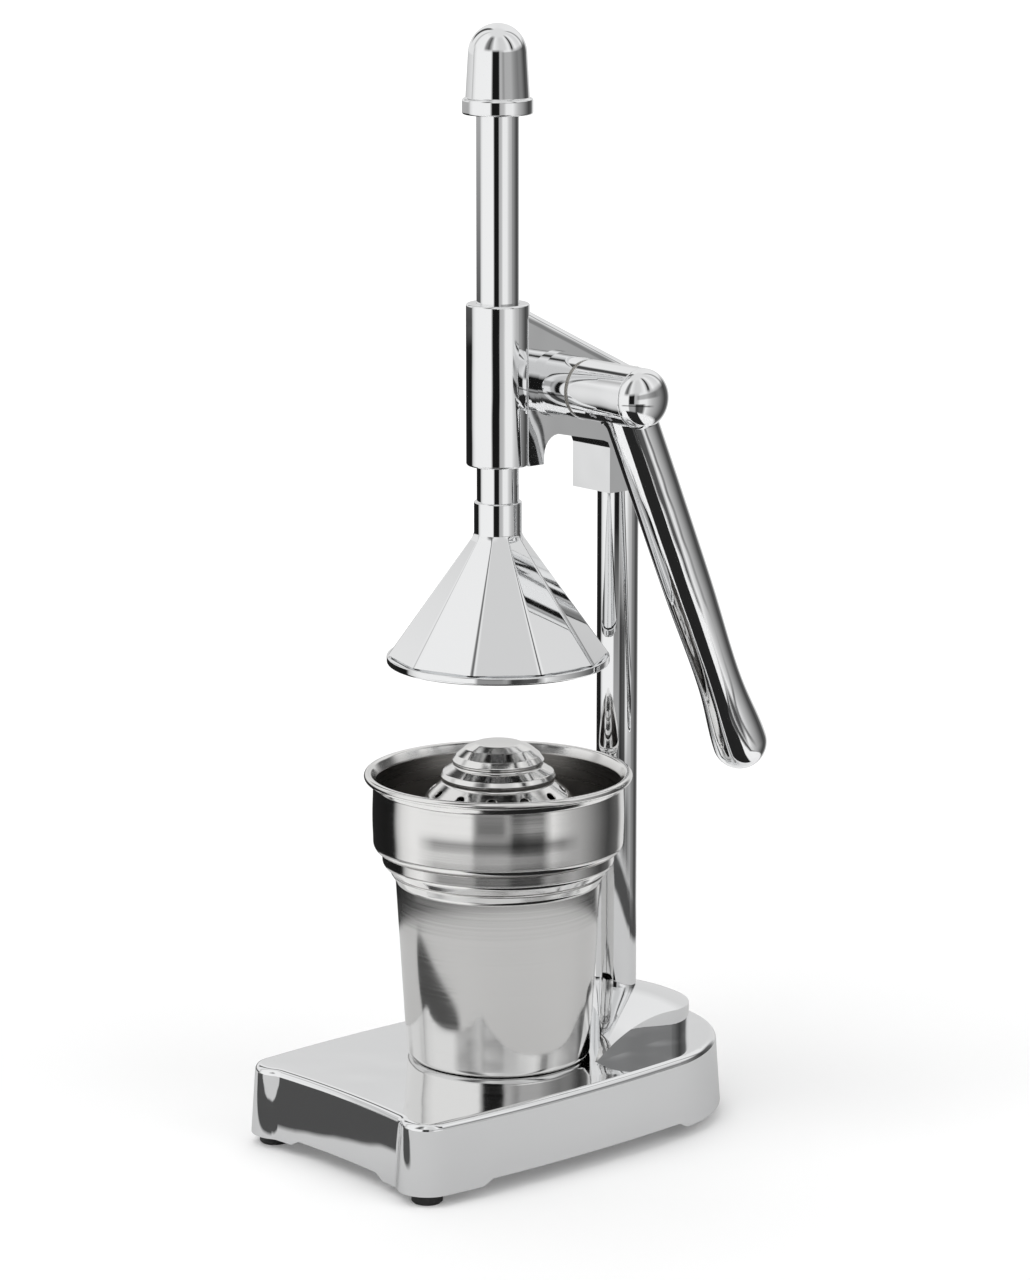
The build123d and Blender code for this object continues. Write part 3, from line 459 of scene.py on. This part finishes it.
inner_end = rounded([(0, HUB_START, 0), (HUB_R, HUB_START, 0.7), (HUB_R, SCREW_X[0] - CELL_X, 0)])
outer_end = rounded([(HUB_R, SCREW_X[1] + CELL_X, 0), (HUB_R, HUB_END, 0.45), (0, HUB_END, 0)])
hub = [surface(hub_rows(inner_end), around=True), surface(hub_rows(outer_end), around=True)]
plain = np.linspace(SCREW_TURN + CELL_TURN, SCREW_TURN + 2 * np.pi - CELL_TURN, 89)
cell = holed_cell(CELL_TURN, CELL_X, HUB_R, SCREW_R, (8, 2))
rim = cell[-1:]
for x in SCREW_X:
    belt = x + CELL_X * np.array([-1, 0, 1])[:, None]
    hub.append(surface(about_pivot(plain + 0 * belt, belt, HUB_R)))
    border = about_pivot(SCREW_TURN + cell[..., 0], x + cell[..., 1], HUB_R)
    side = about_pivot(SCREW_TURN + rim[..., 0], x + rim[..., 1], HUB_R - SCREW_DEPTH)
    bottom = about_pivot(SCREW_TURN + 0 * rim[..., 0], x + 0 * rim[..., 1], HUB_R - SCREW_DEPTH)
    hub.append(surface(np.concatenate([border, side, bottom]), around=True))
print("surfaces of the hub:", len(hub))

# %% Arm and dome
ARM_X, ARM_LENGTH = 44.0, 144.0
ROOT_R, BULB_R = 9.0, 9.8
SPREAD, ROOT_END, LONG_START = 4.0, 12.0, 26.0
DOME_SEAM, DOME_RISE = 0.6, 7.4
LEAN = np.radians(23.5)


def lever_radius(share):
    """Arm radius by share of its length: a smooth curve through five measured widths."""
    knots = np.array([0.0, 0.28, 0.56, 0.84, 1.0])
    widths = np.array([ROOT_R, 9.0, 8.8, 8.1, BULB_R])
    slopes = np.gradient(widths, knots)
    slopes[0] = slopes[-1] = 0.0
    k = np.clip(np.searchsorted(knots, share) - 1, 0, 3)
    span = knots[k + 1] - knots[k]
    t = (share - knots[k]) / span
    start = widths[k] * (1 + 2 * t) * (1 - t) ** 2 + slopes[k] * span * t * (1 - t) ** 2
    return start + widths[k + 1] * t ** 2 * (3 - 2 * t) + slopes[k + 1] * span * t ** 2 * (t - 1)


# Rows of the root follow the line where the arm meets the hub, and straighten out until ROOT_END.
turn = np.linspace(0, 2 * np.pi, 96, endpoint=False)
off_hub = np.concatenate([[-1.0], SPREAD * np.linspace(0, 1, 9) ** 1.6, [5.5, 8, ROOT_END]])[:, None]
meet = np.sqrt(HUB_R ** 2 - (ROOT_R * np.sin(turn)) ** 2)
flatter = np.clip(off_hub / ROOT_END, 0, 1) ** 2
root_s = (meet * (1 - flatter) + HUB_R * flatter) + off_hub
inward = np.clip(-np.cos(turn), 0, 1) ** 2
fillet = SPREAD - np.sqrt(np.maximum(SPREAD ** 2 - np.clip(SPREAD - off_hub, 0, SPREAD) ** 2, 0))
root_r = lever_radius(np.clip(root_s / ARM_LENGTH, 0, 1)) + 0.8 * fillet * inward
long_s = np.linspace(LONG_START, ARM_LENGTH, 40)[:, None]
bulb = np.linspace(0, np.pi / 2, 17)[1:, None]
arm_s = np.concatenate([0 * turn[None] + 2, root_s, long_s + 0 * turn,
                        ARM_LENGTH + BULB_R * np.sin(bulb) + 0 * turn])
arm_r = np.concatenate([0 * turn[None], root_r, lever_radius(long_s / ARM_LENGTH) + 0 * turn,
                        BULB_R * np.cos(bulb) + 0 * turn])
across = arm_r * np.sin(turn)
arm = np.stack([ARM_X + arm_r * np.cos(turn),
                pivot[1] + arm_s * np.sin(LEAN) - across * np.cos(LEAN),
                pivot[2] - arm_s * np.cos(LEAN) - across * np.sin(LEAN)], axis=-1)
add_piece("lever_arm", hub + [surface(arm, around=True)], cast_chrome, "lever", "chrome", "lever_handle")
seam = rounded([(0, HUB_END, 0), (HUB_R, HUB_END, 0.4), (HUB_R, HUB_END + DOME_SEAM, 0)])
dome = np.concatenate([seam, quarter(HUB_R, DOME_RISE, HUB_END + DOME_SEAM)[1:]])
add_piece("hub_dome", [surface(hub_rows(dome), around=True)], cast_chrome, "lever", "chrome",
          "hub_dome_cap")

# %% [markdown]
# ## Cup
# The cup is spun from stainless sheet a millimetre thick: a small foot radius, a slight taper and a
# flared mouth. One closed profile, up the outside and down the inside, gives it a real wall.

# %% Cup
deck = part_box("juice_cup")[0][2] / MM
mouth = deck + 68.7
flare = mouth - 3.3
cup = rounded([(0, deck, 0), (33.0, deck, 2.4), (36.9, flare, 2.6), (39.0, mouth, 0.5),
               (37.9, mouth, 0.5), (35.9, flare, 2.6), (32.0, deck + 1.0, 1.8), (0, deck + 1.0, 0)])
add_piece("cup_shell", [surface(turned(cup, 160), around=True)], stainless, "cup", "stainless",
          "juice_cup")

# %% [markdown]
# ## Strainer bowl
# The strainer stands in the cup's mouth. Its rim is rolled outwards into a bead, and its wall swells
# by a third of a millimetre, which bends its reflections. Below the floor it steps in twice: a
# rounded shoulder over the cup's edge and a skirt that drops inside. The bead is an arc of the profile
# itself. The points of the inside carry a mark that makes the sheet rougher and greyer, and the grey is
# painted shade.

# %% Bowl
floor_z = mouth + 7.4
WALL_R, SWELL, SHEET = 44.8, 0.3, 1.0
BEAD_R, BEAD_AT, BEAD_RISE = 1.4, 46.6, 27.2
bead_turn = np.radians(np.linspace(-128, 158, 26))
bead = np.stack([BEAD_AT + BEAD_R * np.cos(bead_turn),
                 floor_z + BEAD_RISE + BEAD_R * np.sin(bead_turn)], axis=-1)
share = np.linspace(0, 1, 9)[1:-1]
belly = np.stack([WALL_R + SWELL * np.sin(np.pi * share), floor_z + 3.6 + 18.2 * share, 0 * share],
                 axis=-1)
outer = rounded([(29.0, floor_z, 0), (WALL_R, floor_z, 3.4), *belly,
                 (WALL_R, floor_z + 23.9, 1.6), (*bead[0], 0)])
inner = rounded([(*bead[-1], 0), (WALL_R - SHEET, floor_z + 25.2, 1.6),
                 (WALL_R - SHEET, floor_z + SHEET, 2.6), (29.0, floor_z + SHEET, 0)])
bowl = np.concatenate([outer[:-1], bead, inner[1:]])
joined = floor_z + 0.5
skirt = rounded([(40.6, joined, 0), (41.6, joined, 0.3), (41.6, mouth + 3.2, 2.4), (38.6, mouth, 1.4),
                 (34.6, mouth, 0.9), (34.6, mouth - 7.2, 0.4), (33.6, mouth - 7.2, 0.4),
                 (33.6, mouth + 1, 1.6), (37.9, mouth + 1, 1.0), (40.6, mouth + 4.1, 1.4),
                 (40.6, joined, 0)])
shells = [surface(turned(bowl, 160), around=True, along=True),
          surface(turned(skirt[::-1], 160), around=True)]
strainer = add_piece("strainer_shell", shells, stainless, "strainer", "stainless",
                     "strainer_bowl", "strainer_floor")

# %% Mark on the inside of the bowl
spot = np.zeros(3 * len(strainer.data.vertices))
strainer.data.vertices.foreach_get("co", spot)
spot = (spot.reshape(-1, 3) - press_axis) / MM
within = (np.hypot(spot[:, 0], spot[:, 1]) < WALL_R - 0.6) & (spot[:, 2] > floor_z + 0.6)
# The mark greys the inside as painted shade and roughens it, fading out below the bead.
dull_and_shade = within * np.clip((floor_z + BEAD_RISE - 1.0 - spot[:, 2]) / 1.5, 0, 1)
strainer.data.attributes.new("dull_and_shade", "FLOAT", "POINT").data.foreach_set("value", dull_and_shade)
print("dull points inside the strainer:", int(within.sum()))

# %% [markdown]
# ## Reamer
# The reamer is a thin pressed dome in three tiers. Two rows of holes let the juice out of the
# strainer. Each hole is a cell of the grid whose inner border is a circle, so the holes are real
# openings, and a Solidify modifier gives the sheet its thickness at their rims too.

# %% Reamer profile
sheet_top = floor_z + SHEET
outline = [(32.4, 1.0, 0), (31.4, 1.0, 0.4), (31.4, 5.4, 1.5), (28.6, 14.6, 4.0), (25.4, 19.6, 3.0),
           (19.4, 24.6, 0.9), (20.8, 26.0, 0.6), (19.8, 27.8, 1.0), (15.6, 30.4, 0.8), (16.6, 31.8, 0.6),
           (15.0, 34.0, 1.2), (12.0, 36.4, 2.5), (8.0, 38.0, 3.0), (0, 38.4, 0)]
path = rounded(outline, 5)
length = np.concatenate([[0], np.cumsum(np.linalg.norm(np.diff(path, axis=0), axis=1))])


def on_reamer(turn, v):
    """Point of the reamer: v is the distance up its profile, turn the angle about the axis."""
    r = np.interp(v, length, path[:, 0])
    z = sheet_top + np.interp(v, length, path[:, 1])
    return np.stack([r * np.cos(turn), r * np.sin(turn), z], axis=-1)


def at_rise(rise):
    """Distance up the profile at a height above the strainer's floor."""
    return np.interp(rise, path[:, 1], length)


print("length of the reamer's profile in mm:", round(length[-1], 1))

# %% Reamer with two rows of drain holes
HOLES = 12
STEP = 2 * np.pi / HOLES
# Each row: its height, the hole's radius and half the cell's height in mm, then in degrees the place of
# the first hole and how far the columns below twist to meet it.
DRAINS = ((8.3, 1.95, 2.5, 0.0, 0.0), (21.4, 1.9, 2.4, 13.5, -1.5))
column = np.linspace(0, 2 * np.pi, 8 * HOLES, endpoint=False) + STEP / 2
reamer = []
edge = 0.0
for rise, hole, reach, first, twist in DRAINS:
    middle = at_rise(rise)
    between = length[(length > edge + 1e-3) & (length < middle - reach - 1e-3)]
    stops = np.concatenate([[edge], between, [middle - reach]])[:, None]
    slip = np.radians(twist) * (stops - edge) / (middle - reach - edge)
    reamer.append(surface(on_reamer(column + slip, stops + 0 * column), around=True))
    cell = holed_cell(STEP / 2, reach, on_reamer(0.0, middle)[0], hole, (8, 4))
    for turn in np.radians(first) + STEP * np.arange(HOLES):
        reamer.append(surface(on_reamer(turn + cell[..., 0], middle + cell[..., 1]), around=True))
    edge = middle + reach
stops = np.concatenate([[edge], length[length > edge + 1e-3]])[:, None]
reamer.append(surface(on_reamer(column + np.radians(twist) + 0 * stops, stops + 0 * column), around=True))
dome_piece = add_piece("reamer_shell", reamer, stainless, "strainer", "stainless", "reamer_dome")
sheet = dome_piece.modifiers.new("sheet", "SOLIDIFY")
sheet.thickness = SHEET * MM
sheet.offset = -1.0

# %% [markdown]
# ## Studio
# Chrome shows its surroundings, so the studio decides the look. A tent of light and dark panels
# stands round the press for reflections only: white cloth at the left, a dark gap behind the camera,
# white again at the right that fades towards the back, and stripes of cloth overhead. It is a sphere
# whose points carry a level of light, and directions on it are degrees to the right of the camera and
# degrees up. The walls and lofts below pair degrees to the right with a level. Low down the gap ends
# in grey and a dark shelf runs across, at the height that upright walls mirror. Two darker patches
# hang at the right, one low and one higher up.

# %% Light levels of the tent
VIEW = 49.5
walls = np.array([
    (-180, 0.70), (-174, 0.30), (-168, 0.02), (-110, 0.01), (-104, 0.60), (-97, 0.84), (-86, 0.96),
    (-25, 0.97), (-18, 0.01), (4, 0.01), (8, 0.48), (20, 0.56), (28, 0.92), (50, 0.92), (60, 0.68),
    (70, 0.52), (80, 0.42), (90, 0.32), (100, 0.21), (110, 0.12), (120, 0.06), (140, 0.14), (152, 0.74),
    (180, 0.70)])
lofts = np.array([
    (-180, 0.85), (-156, 0.90), (-150, 0.06), (-141, 0.06), (-135, 0.90), (-118, 0.88), (-111, 0.50),
    (-102, 0.93), (-60, 0.95), (-50, 0.30), (-36, 0.10), (-27, 0.40), (-16, 0.92), (-4, 0.80), (8, 0.70),
    (30, 0.72), (46, 0.94), (54, 0.60), (57, 0.05), (63, 0.05), (66, 0.60), (76, 0.97), (88, 0.80),
    (104, 0.74), (114, 0.95), (124, 0.25), (132, 0.90), (160, 0.88), (180, 0.85)])
swing = np.linspace(-180, 180, 361)
height = np.linspace(-80, 90, 86)[:, None]


def patch(heights, swings):
    """Mask that is 1 in a patch of the tent and 0 outside it.

    Four limits fade it in and out again. Two limits fade it out, so it is 1 below the first.
    """
    fades = {4: (0, 1, 1, 0), 2: (1, 0)}
    return np.interp(height, heights, fades[len(heights)]) * np.interp(swing, swings, fades[len(swings)])


low_cloth = np.interp(swing, walls[:, 0], walls[:, 1])
eye_cloth = np.where(swing < -106, np.interp(swing, (-180, -150), (0.70, 0.85)), low_cloth)
zenith = np.clip((height - 64) / 10, 0, 1)
ZENITH_LEVEL = 0.80
roof = np.interp(swing, lofts[:, 0], lofts[:, 1]) * (1 - zenith) + ZENITH_LEVEL * zenith
above = np.clip((height + 2) / 10, 0, 1)
overhead = np.clip((height - 18) / 10, 0, 1)
glow = (low_cloth * (1 - above) + eye_cloth * above) * (1 - overhead) + roof * overhead
GAP_GREY = 0.40
gap_foot = (np.abs(swing + 7) < 14) * np.clip((-7 - height) / 1.5, 0, 1)
glow = glow + gap_foot * np.maximum(GAP_GREY - glow, 0)
SHELF_DARK, LOW_DARK, HIGH_DARK = 0.8, 0.9, 0.5
shelf = patch((-14.8, -13.8, -11.8, -10.8), (-80, -60, 60, 80))
low_right = patch((-7.6, -6.0), (6, 14, 40, 50))
high_right = patch((4, 7, 16, 20), (12, 22, 80, 100))
glow = glow * (1 - SHELF_DARK * shelf) * (1 - LOW_DARK * low_right) * (1 - HIGH_DARK * high_right)
print("levels of the tent", glow.shape, "from", round(glow.min(), 3), "to", round(glow.max(), 3))

# %% Tent
TENT_R = 2500
azimuth, level = np.radians(swing + VIEW), np.radians(height)
tent = TENT_R * np.stack([np.cos(level) * np.sin(azimuth), -np.cos(level) * np.cos(azimuth),
                          np.sin(level) + 0 * azimuth], axis=-1)
tent_mesh = bpy.data.meshes.new("tent")
points, cells = surface(tent)
tent_mesh.from_pydata((points * MM).tolist(), [], cells.tolist())
tent_mesh.attributes.new("glow", "FLOAT", "POINT").data.foreach_set("value", glow.ravel())
tent_object = bpy.data.objects.new("tent", tent_mesh)
bpy.context.scene.collection.objects.link(tent_object)
for kind in ("camera", "diffuse", "transmission", "volume_scatter", "shadow"):
    setattr(tent_object, "visible_" + kind, False)
panel = bpy.data.materials.new("panel_cloth")
panel.use_nodes = True
tree = panel.node_tree
tree.nodes.remove(tree.nodes["Principled BSDF"])
lit = tree.nodes.new("ShaderNodeEmission")
mark = tree.nodes.new("ShaderNodeAttribute")
mark.attribute_name = "glow"
tree.links.new(mark.outputs["Fac"], lit.inputs["Strength"])
tree.links.new(lit.outputs["Emission"], tree.nodes["Material Output"].inputs["Surface"])
tent_mesh.materials.append(panel)
print("tent points", len(points))

# %% [markdown]
# ## Table
# The floor is a pale table that keeps the shadow and runs into white far away. The press mirrors it
# too, and a photographer would lay dark cards on it just outside the picture. Here the cards are
# masks of the place on the table, and only reflected rays see them. Rays that come down steeply, from
# the head and the lever, see a dark gap on the right and dark cloth on the far left. Shallow
# rays, from the cup and the base, see a dark oval and a ring. Beyond a disc the table is clear for
# reflected rays, so that the tent shows there.

# %% Floor mesh
ring = np.array([0.0, 300.0, 700.0, 12000.0])
floor_points, floor_cells = surface(turned(np.stack([ring, 0 * ring - 0.01], axis=-1), 64), around=True)
floor_mesh = bpy.data.meshes.new("floor")
floor_mesh.from_pydata((floor_points * MM).tolist(), [], floor_cells.tolist())
floor_object = bpy.data.objects.new("floor", floor_mesh)
bpy.context.scene.collection.objects.link(floor_object)
table = bpy.data.materials.new("pale_table")
table.use_nodes = True
floor_mesh.materials.append(table)
print("floor points", len(floor_points))

# %% Masks on the table
tree = table.node_tree
tree.nodes.remove(tree.nodes["Principled BSDF"])
place = tree.nodes.new("ShaderNodeTexCoord")
ray = tree.nodes.new("ShaderNodeLightPath")


def ramp(value, near, far):
    """0 where a value is below near and 1 where it is above far."""
    fade = tree.nodes.new("ShaderNodeMapRange")
    fade.inputs["From Min"].default_value = near
    fade.inputs["From Max"].default_value = far
    tree.links.new(value, fade.inputs["Value"])
    return fade.outputs["Result"]


def measure(kind, vector, source=place.outputs["Object"]):
    """Distance from a point on the floor, or length along a direction on it, in metres."""
    node = tree.nodes.new("ShaderNodeVectorMath")
    node.operation = kind
    node.inputs[1].default_value = vector
    tree.links.new(source, node.inputs[0])
    return node.outputs["Vector" if kind == "MULTIPLY" else "Value"]


def shade(mask, dark, light):
    """Grey between two numbers or sockets: light where the mask is 0 and dark where it is 1."""
    mix = tree.nodes.new("ShaderNodeMix")
    mix.data_type = "FLOAT"
    feed(tree, mix.inputs["A"], light)
    feed(tree, mix.inputs["B"], dark)
    tree.links.new(mask, mix.inputs["Factor"])
    return mix.outputs["Result"]


to_left = measure("DOT_PRODUCT", (-1, 0, 0))
to_right = measure("DOT_PRODUCT", (0.67, 0.742, 0))
beside_gap = math_node(tree, "MAXIMUM", ramp(to_left, -0.062, -0.056), ramp(to_right, 0.148, 0.158))
gap = math_node(tree, "SUBTRACT", 1.0, beside_gap)
dark_cloth = math_node(tree, "MAXIMUM", gap, ramp(to_left, 0.19, 0.21))
squeezed = measure("MULTIPLY", (0.38, 1.0, 1.0))
from_oval = measure("DISTANCE", (-0.034, -0.15, 0), squeezed)
oval = math_node(tree, "SUBTRACT", 1.0, ramp(from_oval, 0.036, 0.042))
from_press = measure("DISTANCE", (0, 0, 0))
band = math_node(tree, "SUBTRACT", ramp(from_press, 0.262, 0.275), ramp(from_press, 0.325, 0.340))
cards = math_node(tree, "MAXIMUM", oval, band)
graze = tree.nodes.new("ShaderNodeLayerWeight")
shallow = ramp(graze.outputs["Facing"], 0.46, 0.50)
print("nodes for the masks:", len(tree.nodes))

# %% Look of the table
PALE, LIFT = 0.86, 0.16
DISC_AT = 0.045
mirrored = shade(shallow, shade(cards, 0.08, 0.62), shade(dark_cloth, 0.02, 0.97))
matt = tree.nodes.new("ShaderNodeBsdfDiffuse")
tree.links.new(shade(ray.outputs["Is Glossy Ray"], mirrored, PALE), matt.inputs["Color"])
white = tree.nodes.new("ShaderNodeEmission")
far_off = math_node(tree, "MULTIPLY", ray.outputs["Is Camera Ray"], ramp(from_press, 0.15, 0.9))
beyond = tree.nodes.new("ShaderNodeMixShader")
tree.links.new(far_off, beyond.inputs["Fac"])
tree.links.new(matt.outputs[0], beyond.inputs[1])
tree.links.new(white.outputs[0], beyond.inputs[2])
lift = tree.nodes.new("ShaderNodeEmission")
tree.links.new(math_node(tree, "MULTIPLY", ray.outputs["Is Camera Ray"], LIFT), lift.inputs["Strength"])
both = tree.nodes.new("ShaderNodeAddShader")
tree.links.new(beyond.outputs[0], both.inputs[0])
tree.links.new(lift.outputs[0], both.inputs[1])
near_camera = (DISC_AT * np.sin(np.radians(VIEW)), -DISC_AT * np.cos(np.radians(VIEW)), 0)
off_disc = ramp(measure("DISTANCE", near_camera), 0.30, 0.36)
away = math_node(tree, "MULTIPLY", ray.outputs["Is Glossy Ray"], off_disc)
opening = tree.nodes.new("ShaderNodeMixShader")
clear = tree.nodes.new("ShaderNodeBsdfTransparent")
tree.links.new(away, opening.inputs["Fac"])
tree.links.new(both.outputs[0], opening.inputs[1])
tree.links.new(clear.outputs[0], opening.inputs[2])
tree.links.new(opening.outputs[0], tree.nodes["Material Output"].inputs["Surface"])
print("nodes of the table:", len(tree.nodes))

# %% [markdown]
# ## World and lamps
# The world is white. It lights the press at half strength, and the camera, reflections and glass see it
# at full strength. Three large lamps add the soft shadow. They are hidden from reflections, because
# the tent already gives the chrome something to mirror.

# %% World
DIM = 0.5
world = bpy.data.worlds.new("studio")
bpy.context.scene.world = world
world.use_nodes = True
tree = world.node_tree
sky = tree.nodes["Background"]
sky.inputs["Color"].default_value = (1.0, 1.0, 1.0, 1.0)
ray = tree.nodes.new("ShaderNodeLightPath")
seen = math_node(tree, "MAXIMUM", ray.outputs["Is Camera Ray"], ray.outputs["Is Glossy Ray"])
seen = math_node(tree, "MAXIMUM", seen, ray.outputs["Is Transmission Ray"])
extra = math_node(tree, "MULTIPLY", seen, 1.0 - DIM)
tree.links.new(math_node(tree, "ADD", extra, DIM), sky.inputs["Strength"])
print("world strength", DIM, "for light and 1.0 where it is seen")

# %% Lamps
MIDDLE = np.array([0, 0, 0.2])


def soft_lamp(name, azimuth, elevation, distance, power, size=1.6):
    """Area lamp that looks at the middle of the press from a direction given as for a camera."""
    a, e = np.radians(azimuth), np.radians(elevation)
    lamp = bpy.data.lights.new(name, "AREA")
    lamp.size, lamp.energy = size, power
    holder = bpy.data.objects.new(name, lamp)
    aim = np.array([np.sin(a) * np.cos(e), -np.cos(a) * np.cos(e), np.sin(e)])
    holder.location = aim * distance + MIDDLE
    holder.rotation_euler = (np.pi / 2 - e, 0, a)
    holder.visible_glossy = False
    bpy.context.scene.collection.objects.link(holder)
    print("lamp", name, power, "W")


soft_lamp("key", VIEW - 50, 55, 2.2, 22)
soft_lamp("fill", VIEW + 60, 40, 2.4, 12)
soft_lamp("rear", VIEW + 180, 60, 2.4, 10)

# %% [markdown]
# ## Camera
# The picture was taken from the front right, a little above the press, with a long lens from
# about a metre and a half. The camera's place is given from the foot of the press axis.

# %% Camera
lens = bpy.data.cameras.new("camera")
lens.lens, lens.sensor_width = 125.8, 36.0
camera = bpy.data.objects.new("camera", lens)
STAND_AT = (1.1801, -1.0080, 0.5177)
LOOK_DOWN, LOOK_ROUND = np.radians(12.2), np.radians(49.276)
camera.location = press_axis + STAND_AT
camera.rotation_euler = (np.pi / 2 - LOOK_DOWN, 0, LOOK_ROUND)
bpy.context.scene.collection.objects.link(camera)
bpy.context.scene.camera = camera
bpy.context.scene.view_settings.view_transform = "Standard"
print("camera at", np.round(camera.location, 3).tolist())
